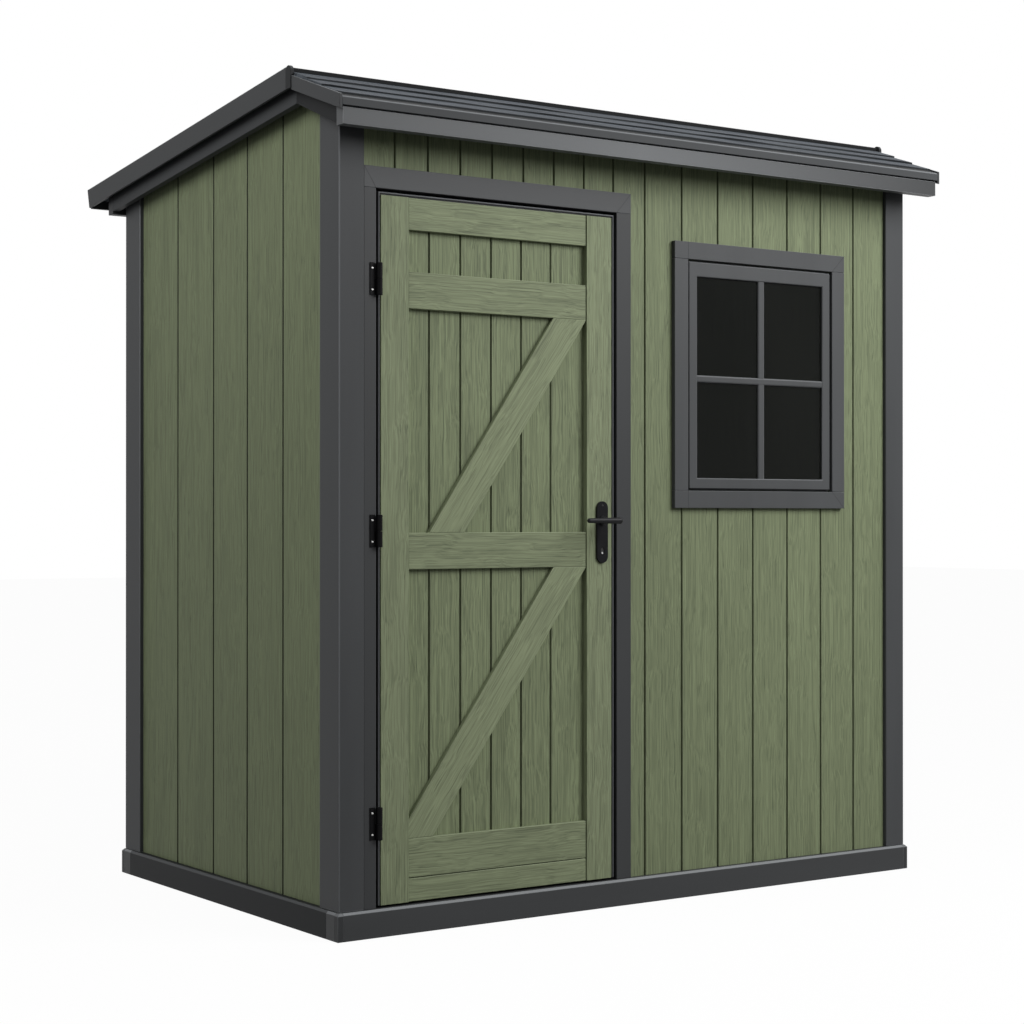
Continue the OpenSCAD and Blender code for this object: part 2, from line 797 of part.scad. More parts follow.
module door_kick_board() {
    color([0.45, 0.48, 0.37]) block([bay_x0, rail_y, leaf_z0], [bay_x1, panel_y, kick_z]);
}

// A brace that rises from its foot to the latch stile, between two rails
module brace(foot, z0, z1) {
    w = brace_level_w;
    along_y(rail_y, panel_y) intersection() {
        polygon([[foot, z0], [foot + w, z0], [bay_x1, z1], [bay_x1 - w, z1]]);
        area([bay_x0, z0], [bay_x1, z1]);
    }
}

module door_braces() {
    color([0.45, 0.48, 0.37]) {
        brace(upper_brace_x, middle_z + rail_h, upper_z);
        brace(lower_brace_x, bottom_bay_z, middle_z);
    }
}

module door_edge_trim() {
    color([0.22, 0.23, 0.21]) along_y(leaf_y + trim_setback, leaf_back) difference() {
        area([leaf_x0, leaf_z0], [leaf_x1, leaf_z1]);
        area([green_x0, leaf_z0 - cut], [green_x1, green_z1]);
    }
}

// An upright slot with round ends on the lever's line, as a shape in X and Z
module slot_area(r, z0, z1) {
    for (z = [z0 + r, z1 - r])
        translate([lever_x, z]) circle(r = r);
    area([lever_x - r, z0 + r], [lever_x + r, z1 - r]);
}

module handle_plate() {
    top = lever_z + plate_up;
    color([0.08, 0.08, 0.09]) difference() {
        along_y(plate_y, leaf_y) slot_area(plate_w / 2, top - plate_h, top);
        along_y(plate_y - cut, leaf_y + cut) slot_area(key_r, key_z - key_h / 2, key_z + key_h / 2);
        translate([lever_x, leaf_y + cut, lever_z]) rotate([90, 0, 0])
            cylinder(r = spindle_r + pin_clear, h = plate_t + 2 * cut);
    }
}

module lock_cylinder() {
    half = key_h / 2 - key_play;
    color([0.60, 0.60, 0.60]) along_y(plate_y + key_setback, leaf_y)
        slot_area(key_r - key_play, key_z - half, key_z + half);
}

module lever_handle() {
    color([0.08, 0.08, 0.09]) translate([lever_x, plate_y - lever_gap, lever_z]) {
        rotate([90, 0, 0]) cylinder(r = collar_r, h = collar_t);
        rotate([90, 0, 0]) cylinder(r = lever_neck_r, h = lever_out);
        translate([0, plate_t + spindle_in, 0]) rotate([90, 0, 0])
            cylinder(r = spindle_r, h = plate_t + spindle_in + collar_t / 2);
        translate([lever_heel, -lever_out, 0]) sphere(r = lever_r);
        translate([lever_heel, -lever_out, 0]) rotate([0, -90, 0])
            cylinder(r1 = lever_r, r2 = lever_tip_r, h = lever_heel + lever_len);
        translate([-lever_len, -lever_out, 0]) sphere(r = lever_tip_r);
    }
}

floor_panel();
front_plinth();
back_plinth();
left_plinth();
right_plinth();
plinth_corner_caps();
front_left_post();
front_right_post();
back_left_post();
back_right_post();
left_wall();
right_wall();
back_wall();
front_wall();
front_wall_over_door();
hinge_jamb();
latch_jamb();
door_header();
window_casing();
window_sash();
window_glass();
front_roof_panel();
rear_roof_panel();
ridge_cap();
ridge_end_caps();
front_rake_boards();
rear_rake_boards();
front_eave_strip();
rear_eave_strip();
front_fascia();
rear_fascia();
left_inner_rakes();
right_inner_rakes();
hinge_frame_leaves();
door_panel();
door_stiles();
door_rails();
door_kick_board();
door_braces();
door_edge_trim();
hinge_door_leaves();
handle_plate();
lock_cylinder();
lever_handle();
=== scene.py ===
import math
import random

import bmesh
import bpy
from mathutils import Matrix, Vector, noise


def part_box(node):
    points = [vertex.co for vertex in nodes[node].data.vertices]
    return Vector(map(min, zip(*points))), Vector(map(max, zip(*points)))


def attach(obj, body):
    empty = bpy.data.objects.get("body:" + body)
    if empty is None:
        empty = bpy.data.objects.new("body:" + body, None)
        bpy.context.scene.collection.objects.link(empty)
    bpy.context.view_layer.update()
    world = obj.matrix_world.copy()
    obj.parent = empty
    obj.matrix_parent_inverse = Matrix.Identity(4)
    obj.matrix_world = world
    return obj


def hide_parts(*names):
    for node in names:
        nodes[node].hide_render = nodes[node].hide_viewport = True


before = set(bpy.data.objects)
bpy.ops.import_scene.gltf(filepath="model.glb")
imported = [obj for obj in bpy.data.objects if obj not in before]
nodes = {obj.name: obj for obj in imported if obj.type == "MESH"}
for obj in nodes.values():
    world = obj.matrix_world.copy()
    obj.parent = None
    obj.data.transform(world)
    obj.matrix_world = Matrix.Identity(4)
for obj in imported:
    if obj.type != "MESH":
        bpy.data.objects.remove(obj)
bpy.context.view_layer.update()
scene = bpy.context.scene
scene.view_settings.view_transform = "Standard"
print("frame loaded with", len(nodes), "nodes")


# the photo's view
view = {
    "lens": 74.255,
    "sensor": 36,
    "place": (-3.6639, -5.2655, 1.0683),
    "yaw": 34.704,  # degrees to the right of straight at the front
    "pitch": 0.1666,
}
cameraData = bpy.data.cameras.new("photoCamera")
cameraData.lens = view["lens"]
cameraData.sensor_width = view["sensor"]
camera = bpy.data.objects.new("photoCamera", cameraData)
camera.location = view["place"]
camera.rotation_euler = (math.radians(90 + view["pitch"]), 0, math.radians(-view["yaw"]))
scene.collection.objects.link(camera)
scene.camera = camera
print("camera placed")


# a socket of a node tree, with the maths that the finishes use
class Wire:
    def __init__(self, tree, socket=None):
        self.tree = tree
        self.socket = socket

    def node(self, kind, settings=None, sockets=None, out=0):
        made = self.tree.nodes.new(kind)
        for name, value in (settings or {}).items():
            if name == "stops":
                self.layStops(made.color_ramp, value)
            else:
                setattr(made, name, value)
        for name, value in (sockets or {}).items():
            if isinstance(value, Wire):
                self.tree.links.new(value.socket, made.inputs[name])
            else:
                made.inputs[name].default_value = value
        return Wire(self.tree, made.outputs[out]) if made.outputs else None

    def layStops(self, ramp, stops):
        while len(ramp.elements) < len(stops):
            ramp.elements.new(0.5)
        for element, (place, colour) in zip(ramp.elements, stops):
            element.position = place
            element.color = colour

    def other(self, out):
        return Wire(self.tree, self.socket.node.outputs[out])

    def maths(self, operation, *values):
        return self.node("ShaderNodeMath", {"operation": operation}, dict(enumerate(values)))

    def __add__(self, other):
        return self.maths("ADD", self, other)

    def __radd__(self, other):
        return self.maths("ADD", other, self)

    def __sub__(self, other):
        return self.maths("SUBTRACT", self, other)

    def __rsub__(self, other):
        return self.maths("SUBTRACT", other, self)

    def __mul__(self, other):
        return self.maths("MULTIPLY", self, other)

    def __rmul__(self, other):
        return self.maths("MULTIPLY", other, self)

    # swings about nought by the given amount
    def swing(self, amount):
        return (self - 0.5) * amount


def startFinish(name):
    material = bpy.data.materials.new(name)
    material.use_nodes = True
    material.node_tree.nodes.clear()
    return material, Wire(material.node_tree)


def endFinish(wire, sockets):
    shader = wire.node("ShaderNodeBsdfPrincipled", {}, sockets)
    wire.node("ShaderNodeOutputMaterial", {}, {"Surface": shader})


def objectPlace(wire):
    return wire.node("ShaderNodeTexCoord", {}, {}, "Object")


def stretched(wire, place, stretch):
    return wire.node("ShaderNodeVectorMath", {"operation": "MULTIPLY"}, {0: place, 1: stretch})


def shifted(wire, place, shift):
    return wire.node("ShaderNodeVectorMath", {"operation": "ADD"}, {0: place, 1: shift})


def cloud(wire, place, scale, detail=3.0, roughness=0.5):
    sockets = {"Vector": place, "Scale": scale, "Detail": detail, "Roughness": roughness}
    return wire.node("ShaderNodeTexNoise", {}, sockets)


# a cloud drawn out along the grain
def grained(wire, place, stretch, detail=2.0, roughness=0.5):
    return cloud(wire, stretched(wire, place, stretch), 1.0, detail, roughness)


# 0 under the low value, 1 over the high one
def between(wire, value, low, high):
    return wire.node("ShaderNodeMapRange", {}, {"Value": value, "From Min": low, "From Max": high})


def tinted(wire, amount, first, second):
    return wire.node("ShaderNodeMix", {"data_type": "RGBA"}, {0: amount, 6: first, 7: second}, 2)


def ramped(wire, amount, stops):
    return wire.node("ShaderNodeValToRGB", {"stops": stops}, {"Fac": amount})


def bumped(wire, strength, depth, height):
    return wire.node("ShaderNodeBump", {}, {"Strength": strength, "Distance": depth, "Height": height})


# a middle value that sways with a cloud
def swayed(cloudy, span):
    middle, swing = span
    return middle + cloudy.swing(swing)


def faceValue(wire, name):
    return wire.node("ShaderNodeAttribute", {"attribute_name": name}, {}, "Fac")


def levelled(colour, level):
    return tuple(value * level for value in colour) + (1,)


# a dark, a plain and a light stop of one colour
def threeStops(colour, dark, light, level=1.0):
    shares = ((0.10, dark), (0.50, 1.0), (0.90, light))
    return [(place, levelled(colour, share * level)) for place, share in shares]


# a shift of its own for every board
def apart(wire, tone, steps):
    sockets = {index: tone * step for index, step in enumerate(steps)}
    return wire.node("ShaderNodeCombineXYZ", {}, sockets)


# moulded wood grain: arched rings on some boards, fine fibres, short dark flecks and a slow drift of tone
greenGrain = {
    "colour": (0.150, 0.177, 0.101),  # wall and door planks
    "pale": (0.153, 0.177, 0.106),  # boards of the door
    "dark": 0.60,
    "light": 1.42,
    "rim": (0.270, 0.305, 0.200, 1),  # painted highlight on eased edges
    "recessShade": (0.012, 0.015, 0.007, 1),  # painted shade in the grooves
    "rings": 15.0,
    "sway": 0.030,  # how far a fibre wanders across the board
    "apart": (13.0, 7.0, 29.0),  # how far along the log the boards are cut from each other
    "wander": (9.0, 9.0, 5.0),  # how the layers of grain are drawn out
    "log": (7.5, 7.5, 0.6),
    "fibres": (310.0, 310.0, 3.0),
    "streaks": (130.0, 130.0, 1.8),
    "flecks": (240.0, 240.0, 4.0),
    "pores": (420.0, 420.0, 14.0),
    "drift": (14.0, 14.0, 1.6),
    "archEdge": (0.62, 1.0),  # where a ring begins and where it is darkest
    "archBoards": (0.45, 0.60),  # only boards with a tone over this show arches
    "fleckEdge": (0.59, 0.70),
    "fine": {"fibres": 1.3, "streaks": 0.3, "pores": 0.35, "flecks": 0.28},  # how much each one shades
    "slow": {"middle": 0.56, "drift": 0.20, "tone": 0.10, "arches": 0.13},
    "height": {"fibres": 0.8, "pores": 0.3, "flecks": 0.2},
    "fibreDepth": 0.0007,
    "bump": 0.35,
    "highlighted": 0.8,
    "rough": (0.62, 0.22),  # middle and swing
    "gloss": 0.18,
}


def greenFinish(name, base="colour", level=1.0, turn=(0.0, 0.0, 0.0), relief=1.0):
    look = greenGrain
    material, wire = startFinish(name)
    place = objectPlace(wire)
    tone = faceValue(wire, "tone")
    turned = wire.node("ShaderNodeMapping", {}, {"Vector": place, "Rotation": turn})
    straight = shifted(wire, turned, apart(wire, tone, look["apart"]))
    sway = grained(wire, straight, look["wander"]).swing(look["sway"])
    bend = wire.node("ShaderNodeCombineXYZ", {}, {0: sway, 1: sway})
    grain = shifted(wire, straight, bend)
    log = grained(wire, grain, look["log"], 1.5)
    arches = between(wire, wire.maths("PINGPONG", log * look["rings"], 1.0), *look["archEdge"])
    arched = between(wire, tone, *look["archBoards"])
    fibres = grained(wire, grain, look["fibres"], 2.0, 0.6)
    streaks = grained(wire, grain, look["streaks"])
    flecks = between(wire, grained(wire, grain, look["flecks"]), *look["fleckEdge"])
    pores = grained(wire, grain, look["pores"])
    drift = grained(wire, grain, look["drift"])
    mix = look["fine"]
    fine = fibres.swing(mix["fibres"]) + streaks.swing(mix["streaks"]) + pores.swing(mix["pores"])
    fine = fine - flecks * mix["flecks"]
    mix = look["slow"]
    shade = mix["middle"] + fine * relief + drift.swing(mix["drift"]) + tone.swing(mix["tone"])
    shade = shade - arches * arched * mix["arches"]
    colour = ramped(wire, shade, threeStops(look[base], look["dark"], look["light"], level))
    # painted highlight: eased edges lightened as if lit
    highlighted = tinted(wire, faceValue(wire, "rim") * look["highlighted"], colour, look["rim"])
    # painted shade in the grooves
    recessShaded = tinted(wire, faceValue(wire, "lap"), highlighted, look["recessShade"])
    mix = look["height"]
    height = fibres * mix["fibres"] + pores * mix["pores"] - flecks * mix["flecks"]
    bump = bumped(wire, look["bump"], look["fibreDepth"], height)
    rough = swayed(fibres, look["rough"])
    gloss = look["gloss"]
    endFinish(wire, {"Base Color": recessShaded, "Roughness": rough, "Normal": bump, "Specular IOR Level": gloss})
    return material


# how the patches of the trim are drawn out
alongX = (0.4, 3.0, 3.0)
alongY = (3.0, 0.4, 3.0)
upZ = (3.0, 3.0, 0.4)

# dark grey trim with a fine moulded skin
greyTrim = {
    "colour": (1.0, 1.045, 1.09),
    "low": 0.84,
    "high": 1.16,
    "rim": 3.5,  # painted highlight on eased edges
    "shaded": 0.30,  # painted shade: level of the faces and ends that are darkened as if in shadow
    "patches": 2.2,  # scales
    "skin": 650.0,
    "speck": 2100.0,
    "shade": {"middle": 0.5, "patches": 1.3, "skin": 0.5, "tone": 0.3},
    "height": {"skin": 0.7, "speck": 0.3},
    "skinDepth": 0.00025,
    "bump": 0.3,
    "highlighted": 0.7,
    "rough": (0.48, 0.18),
    "paintedFalloff": {"from": -0.1, "right": 1.05, "left": -1.05, "leftShare": 0.4},  # painted falloff of light: the fascia darkens towards both ends, more to the right, around a lighter middle; along X
}


def greyFinish(name, level, streak=upZ, gloss=0.18, paintedFalloff=False, highlightGain=1.0):
    look = greyTrim
    material, wire = startFinish(name)
    place = objectPlace(wire)
    tone = faceValue(wire, "tone")
    patches = cloud(wire, stretched(wire, place, streak), look["patches"], 3.0)
    skin = cloud(wire, place, look["skin"], 2.0)
    speck = cloud(wire, place, look["speck"], 1.0)
    mix = look["shade"]
    shade = mix["middle"] + patches.swing(mix["patches"]) + skin.swing(mix["skin"]) + tone.swing(mix["tone"])
    stops = [
        (0.15, levelled(look["colour"], level * look["low"])),
        (0.85, levelled(look["colour"], level * look["high"])),
    ]
    colour = ramped(wire, shade, stops)
    dark = levelled(look["colour"], level * look["shaded"])
    # painted falloff of light towards the fascia's ends
    if paintedFalloff:
        ends = look["paintedFalloff"]
        across = wire.node("ShaderNodeSeparateXYZ", {}, {0: place})
        right = between(wire, across, ends["from"], ends["right"])
        left = between(wire, across, ends["from"], ends["left"]) * ends["leftShare"]
        colour = tinted(wire, right + left, colour, dark)
    # painted highlight on eased edges, stronger where a piece asks for more
    bright = levelled(look["colour"], level * look["rim"] * highlightGain)
    highlighted = tinted(wire, faceValue(wire, "rim") * look["highlighted"], colour, bright)
    # painted shade on marked faces
    shaded = tinted(wire, faceValue(wire, "lap"), highlighted, dark)
    height = skin * look["height"]["skin"] + speck * look["height"]["speck"]
    bump = bumped(wire, look["bump"], look["skinDepth"], height)
    rough = swayed(patches, look["rough"])
    endFinish(wire, {"Base Color": shaded, "Roughness": rough, "Normal": bump, "Specular IOR Level": gloss})
    return material


# blue-grey roof boards, grained along the ridge, with painted shade in the laps
roofSlate = {
    "colour": (0.086, 0.096, 0.109),
    "dark": 0.42,
    "light": 1.6,
    # painted shade on the risers of the laps
    "recessShade": (0.022, 0.024, 0.026, 1),
    "apart": (31.0, 11.0, 5.0),
    "veins": (2.2, 95.0, 95.0),
    "fine": (9.0, 330.0, 330.0),
    "drift": (1.1, 12.0, 12.0),
    "swirl": (1.5, 24.0, 24.0),
    "crackEdge": (0.006, 0.026),  # dark veins
    "crackPlaces": (0.44, 0.54),  # where they come and go
    "shade": {"middle": 0.5, "veins": 0.8, "fine": 0.5, "drift": 0.4, "tone": 0.22, "crack": 0.5},
    "height": {"veins": 0.8, "fine": 0.3},
    "grainDepth": 0.0012,
    "bump": 0.5,
    "rough": (0.58, 0.25),
    "gloss": 0.03,
}


def roofFinish(name):
    look = roofSlate
    material, wire = startFinish(name)
    place = objectPlace(wire)
    tone = faceValue(wire, "tone")
    grain = shifted(wire, place, apart(wire, tone, look["apart"]))
    veins = grained(wire, grain, look["veins"], 5.0, 0.6)
    fine = grained(wire, grain, look["fine"], 3.0)
    drift = grained(wire, grain, look["drift"])
    swirl = grained(wire, grain, look["swirl"], 1.0)
    crack = 1 - between(wire, wire.maths("ABSOLUTE", swirl - 0.5), *look["crackEdge"])
    crack = crack * between(wire, drift, *look["crackPlaces"])
    mix = look["shade"]
    shade = mix["middle"] + veins.swing(mix["veins"]) + fine.swing(mix["fine"]) + drift.swing(mix["drift"])
    shade = shade + tone.swing(mix["tone"]) - crack * mix["crack"]
    colour = ramped(wire, shade, threeStops(look["colour"], look["dark"], look["light"]))
    # painted shade on the risers
    recessShaded = tinted(wire, faceValue(wire, "lap"), colour, look["recessShade"])
    height = veins * look["height"]["veins"] + fine * look["height"]["fine"]
    bump = bumped(wire, look["bump"], look["grainDepth"], height)
    rough = swayed(veins, look["rough"])
    gloss = look["gloss"]
    endFinish(wire, {"Base Color": recessShaded, "Roughness": rough, "Normal": bump, "Specular IOR Level": gloss})
    return material


# floor panel: dark, with a raised tread of small lozenges
floorTread = {
    "low": (0.070, 0.070, 0.071, 1),
    "high": (0.105, 0.105, 0.106, 1),
    "pitch": 0.022,
    "level": 0.15,  # the hollows between the lozenges are filled up to here
    "soft": 0.25,
    "dust": 5.0,  # scales
    "skin": 700.0,
    "shade": {"middle": 0.35, "dust": 1.2, "tread": 0.35},
    "skinShare": 0.12,
    "treadDepth": 0.0015,
    "bump": 0.6,
    "rough": (0.55, 0.3),
    "gloss": 0.3,
}


def floorFinish(name):
    look = floorTread
    material, wire = startFinish(name)
    place = objectPlace(wire)
    across = wire.node("ShaderNodeSeparateXYZ", {}, {0: place})
    back = across.other(1)
    turns = 2 * math.pi / look["pitch"]
    rise = wire.maths("SINE", (across + back) * turns) * wire.maths("SINE", (across - back) * turns)
    tread = wire.maths("SMOOTH_MAX", rise, look["level"], look["soft"])
    dust = cloud(wire, place, look["dust"], 5.0, 0.6)
    skin = cloud(wire, place, look["skin"], 2.0)
    mix = look["shade"]
    shade = mix["middle"] + dust.swing(mix["dust"]) + tread * mix["tread"]
    stops = [(0.1, look["low"]), (0.9, look["high"])]
    colour = ramped(wire, shade, stops)
    height = tread + skin * look["skinShare"]
    bump = bumped(wire, look["bump"], look["treadDepth"], height)
    rough = swayed(dust, look["rough"])
    gloss = look["gloss"]
    endFinish(wire, {"Base Color": colour, "Roughness": rough, "Normal": bump, "Specular IOR Level": gloss})
    return material


# black painted hardware and bare metal
blackPaint = {
    "low": (0.006, 0.006, 0.007),
    "high": (0.012, 0.012, 0.013),
    "rim": (0.024, 0.024, 0.026),  # painted highlight on eased edges
    "patches": 60.0,  # scales
    "skin": 1800.0,
    "shade": {"patches": 0.6, "skin": 0.4},
    "highlighted": 0.6,
    "skinDepth": 0.0002,
    "bump": 0.25,
    "rough": (0.40, 0.2),
}
bareMetal = {
    "low": 0.62,
    "high": 1.05,
    "blue": 0.98,  # beside red and green
    "brushed": (400.0, 60.0, 2600.0),
    "rough": (0.30, 0.2),
}


def blackFinish(name, level, gloss):
    look = blackPaint
    material, wire = startFinish(name)
    place = objectPlace(wire)
    patches = cloud(wire, place, look["patches"], 3.0)
    skin = cloud(wire, place, look["skin"], 2.0)
    stops = [(0.25, levelled(look["low"], level)), (0.75, levelled(look["high"], level))]
    shade = patches * look["shade"]["patches"] + skin * look["shade"]["skin"]
    colour = ramped(wire, shade, stops)
    # painted highlight on eased edges
    highlighted = tinted(wire, faceValue(wire, "rim") * look["highlighted"], colour, levelled(look["rim"], level))
    bump = bumped(wire, look["bump"], look["skinDepth"], skin)
    rough = swayed(patches, look["rough"])
    endFinish(wire, {"Base Color": highlighted, "Roughness": rough, "Normal": bump, "Specular IOR Level": gloss})
    return material


def metalFinish(name, level):
    look = bareMetal
    material, wire = startFinish(name)
    place = objectPlace(wire)
    brushed = grained(wire, place, look["brushed"], 3.0)
    grey = (level, level, level * look["blue"])
    stops = [(0.3, levelled(grey, look["low"])), (0.7, levelled(grey, look["high"]))]
    colour = ramped(wire, brushed, stops)
    rough = swayed(brushed, look["rough"])
    endFinish(wire, {"Base Color": colour, "Roughness": rough, "Metallic": 1.0})
    return material


# the pane: dark, with a breath of dust
paneGlass = {
    "clean": (0.004, 0.005, 0.004, 1),
    "dusty": (0.022, 0.023, 0.020, 1),
    "dust": (3.0, 3.0, 1.4),
    "dustShare": 0.4,
    "alpha": (0.66, 0.12),
    "rough": 0.02,
    "dustRough": 0.04,
    "gloss": 0.09,
}


def glassFinish(name):
    look = paneGlass
    material, wire = startFinish(name)
    place = objectPlace(wire)
    dust = grained(wire, place, look["dust"], 4.0, 0.55)
    colour = tinted(wire, dust * look["dustShare"], look["clean"], look["dusty"])
    alpha = swayed(dust, look["alpha"])
    rough = look["rough"] + dust * look["dustRough"]
    gloss = look["gloss"]
    endFinish(wire, {"Base Color": colour, "Alpha": alpha, "Roughness": rough, "Specular IOR Level": gloss})
    return material


def turnTo(degrees):
    return (0.0, math.radians(degrees), 0.0)


braceAngle = 54.4  # rise of the braces, in degrees from level
finishes = {
    "upright": greenFinish("green upright grain", "colour", 1.01, turnTo(0), 0.92),
    "plank": greenFinish("green door planks", "colour", 1.01, turnTo(0), 1.15),
    "stile": greenFinish("green stile grain", "pale", 1.10),
    "level": greenFinish("green level grain", "pale", 1.14, turnTo(90), 1.0),
    "brace": greenFinish("green slanted grain", "pale", 1.22, turnTo(braceAngle - 90), 0.85),
    "trim": greyFinish("grey window trim", 0.057),
    "header": greyFinish("grey door header", 0.058, alongX),
    "post": greyFinish("grey corner posts", 0.053, upZ, 0.12),
    "jamb": greyFinish("grey jambs", 0.032),
    # the base boards and their caps get a stronger painted highlight on their chamfers and edges
    "plinth": greyFinish("grey base boards", 0.041, alongX, highlightGain=1.7),
    # a darker copy of the base boards' grey: painted shade on the side boards
    "shadedSidePlinth": greyFinish("grey side base boards with painted shade", 0.023, alongY, 0.05, highlightGain=1.3),
    "rake": greyFinish("grey rake boards", 0.041, alongY, 0.10),
    "innerRake": greyFinish("grey inner rakes", 0.053, alongY, 0.05),
    "cap": greyFinish("dark ridge end caps", 0.022, alongY, 0.05),
    "plinthCap": greyFinish("grey plinth caps", 0.034, alongY, 0.12, highlightGain=1.5),
    "strip": greyFinish("grey eave strip", 0.060, alongX, 0.05),
    # the fascia has a painted falloff of light towards its ends
    "fascia": greyFinish("grey fascia", 0.108, alongX, paintedFalloff=True),
    "ridge": greyFinish("dark ridge cap", 0.014, alongX, 0.02),
    "bead": greyFinish("grey door bead", 0.095, upZ, 0.10),
    "edge": greyFinish("dark door edge", 0.018),
    "joint": greyFinish("dark joint lines", 0.026, upZ, 0.10),
    "roof": roofFinish("roof boards"),
    "floor": floorFinish("floor tread"),
    "black": blackFinish("black lever paint", 0.9, 0.11),
    "plate": blackFinish("black plate paint", 0.9, 0.06),
    "hinge": blackFinish("black hinge paint", 0.5, 0.05),
    "steel": metalFinish("bright steel", 0.60),
    "barrel": metalFinish("dull lock barrel", 0.045),
    "glass": glassFinish("window pane"),
}
print("finishes mixed:", len(finishes))


# makes an object of a finished bmesh and hangs it on its body
def addPiece(bm, name, body, finish, stands=()):
    mesh = bpy.data.meshes.new(name)
    bm.to_mesh(mesh)
    bm.free()
    mesh.materials.append(finishes[finish])
    piece = bpy.data.objects.new(name, mesh)
    scene.collection.objects.link(piece)
    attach(piece, body)
    if stands:
        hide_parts(*stands)


def islands(bm):
    left = set(bm.faces)
    found = []
    while left:
        stack = [left.pop()]
        island = list(stack)
        while stack:
            face = stack.pop()
            for edge in face.edges:
                for other in edge.link_faces:
                    if other in left:
                        left.remove(other)
                        stack.append(other)
                        island.append(other)
        found.append(island)
    return sorted(found, key=lambda faces: min(tuple(face.calc_center_median()) for face in faces))


def faceLayer(bm, name):
    return bm.faces.layers.float.get(name) or bm.faces.layers.float.new(name)


# every board gets a number of its own, which moves its grain along the log
def setTones(bm, seed, planks=None):
    tone = faceLayer(bm, "tone")
    if planks:
        for face in bm.faces:
            middle = face.calc_center_median()[planks["axis"]]
            index = sum(middle > place for place in planks["grooves"])
            face[tone] = random.Random(seed + str(index)).random()
        return
    for index, island in enumerate(islands(bm)):
        value = random.Random(seed + str(index)).random()
        for face in island:
            face[tone] = value


grooveFaces = {"least": 0.0012, "most": 0.0056, "slope": 0.5}  # depths, and how far up or down they look


# faces that lie a little behind the outer face are groove sides and bottoms, which get painted shade
def markGrooves(bm, axis, sign, recessShade):
    lap = faceLayer(bm, "lap")
    outer = max(vert.co[axis] * sign for vert in bm.verts)
    for face in bm.faces:
        depth = outer - face.calc_center_median()[axis] * sign
        within = grooveFaces["least"] < depth < grooveFaces["most"]
        if within and abs(face.normal.z) < grooveFaces["slope"]:
            face[lap] = recessShade


merging = {"near": 0.00002, "flat": math.radians(0.8)}


# a CAD node's mesh with doubled points and needless edges gone
def mergedCopy(node):
    bm = bmesh.new()
    bm.from_mesh(nodes[node].data)
    bmesh.ops.remove_doubles(bm, verts=bm.verts, dist=merging["near"])
    bmesh.ops.dissolve_limit(bm, angle_limit=merging["flat"], verts=bm.verts, edges=bm.edges)
    return bm


def sharpEdges(bm, degrees):
    limit = math.radians(degrees)
    return [edge for edge in bm.edges if edge.is_manifold and edge.calc_face_angle(0) > limit]


# share of painted highlight on edges that look to the right, towards the key lamp
sideHighlight = 0.8


# how much painted highlight an eased edge gets: most where it looks up, less where it looks to the right,
# towards the key lamp
def rubbing(face, least):
    return max(least, face.normal.z, face.normal.x * sideHighlight)


chamfers = {"width": 0.010, "low": 0.3, "high": 0.95}  # a narrower face is a chamfer; how far up it looks
topSlope = 0.8  # a face that looks further up than this is a top


def faceWidth(face):
    return face.calc_area() / max(edge.calc_length() for edge in face.edges)


# narrow chamfers that look up get the painted highlight too
def rubChamfers(bm):
    rim = faceLayer(bm, "rim")
    for face in bm.faces:
        if faceWidth(face) < chamfers["width"] and chamfers["low"] < face.normal.z < chamfers["high"]:
            face[rim] = 1.0


# broad faces that look up are darkened with painted shade
def shadeTops(bm):
    lap = faceLayer(bm, "lap")
    for face in bm.faces:
        if faceWidth(face) > chamfers["width"] and face.normal.z > topSlope:
            face[lap] = 1.0


# faces in front of a place along Y are darkened with a painted shadow
def shadeFront(bm, place, amount):
    lap = faceLayer(bm, "lap")
    for face in bm.faces:
        if face.calc_center_median().y < place:
            face[lap] = amount


def bevelled(bm, edges, width, segments):
    made = bmesh.ops.bevel(
        bm, geom=edges, offset=width, offset_type="OFFSET", segments=segments, profile=0.5,
        affect="EDGES", clamp_overlap=True, material=-1,
    )
    bm.normal_update()
    return made["faces"]


# what holds where a piece says nothing else: sharp in degrees, and the least share of painted highlight
# on an eased edge; with outward, the side of an edge that looks to the middle gets no painted highlight
easing = {"segments": 2, "sharp": 28, "highlighted": 0.0, "outward": False}


# rounds the sharp edges and paints a highlight on them
def easeEdges(bm, given):
    look = {**easing, **given}
    rim = faceLayer(bm, "rim")
    edges = sharpEdges(bm, look["sharp"])
    if not edges:
        return
    for face in bevelled(bm, edges, look["ease"], look["segments"]):
        inside = face.normal.x * face.calc_center_median().x < 0
        face[rim] = 0.0 if look["outward"] and inside else rubbing(face, look["highlighted"])
        face.smooth = True


endReach = 0.0001  # a point this near to an end belongs to it


# moves both ends in, so that a joint shows
def shortenBoards(bm, gap):
    low = min(vert.co.x for vert in bm.verts)
    high = max(vert.co.x for vert in bm.verts)
    ends = [vert for vert in bm.verts if vert.co.x < low + endReach]
    bmesh.ops.translate(bm, verts=ends, vec=(gap, 0, 0))
    ends = [vert for vert in bm.verts if vert.co.x > high - endReach]
    bmesh.ops.translate(bm, verts=ends, vec=(-gap, 0, 0))


creaseAngle = 30  # on round pieces, an edge sharper than this isn't smoothed


# a CAD node with its edges eased
def dressNode(node, look, body):
    bm = mergedCopy(node)
    if look.get("round"):
        for face in bm.faces:
            face.smooth = True
        for edge in sharpEdges(bm, creaseAngle):
            edge.smooth = False
    if look.get("endGap"):
        shortenBoards(bm, look["endGap"])
    planks = look.get("planks", {}).get(node)
    setTones(bm, node, planks)
    if planks:
        markGrooves(bm, planks["faces"], planks["sign"], planks["recessShade"])
    else:
        rubChamfers(bm)
    if look.get("darkTop"):
        shadeTops(bm)
    if look.get("darkFront"):
        shadeFront(bm, *look["darkFront"])
    easeEdges(bm, look)
    addPiece(bm, node + "_dressed", body, look["finish"], [node])


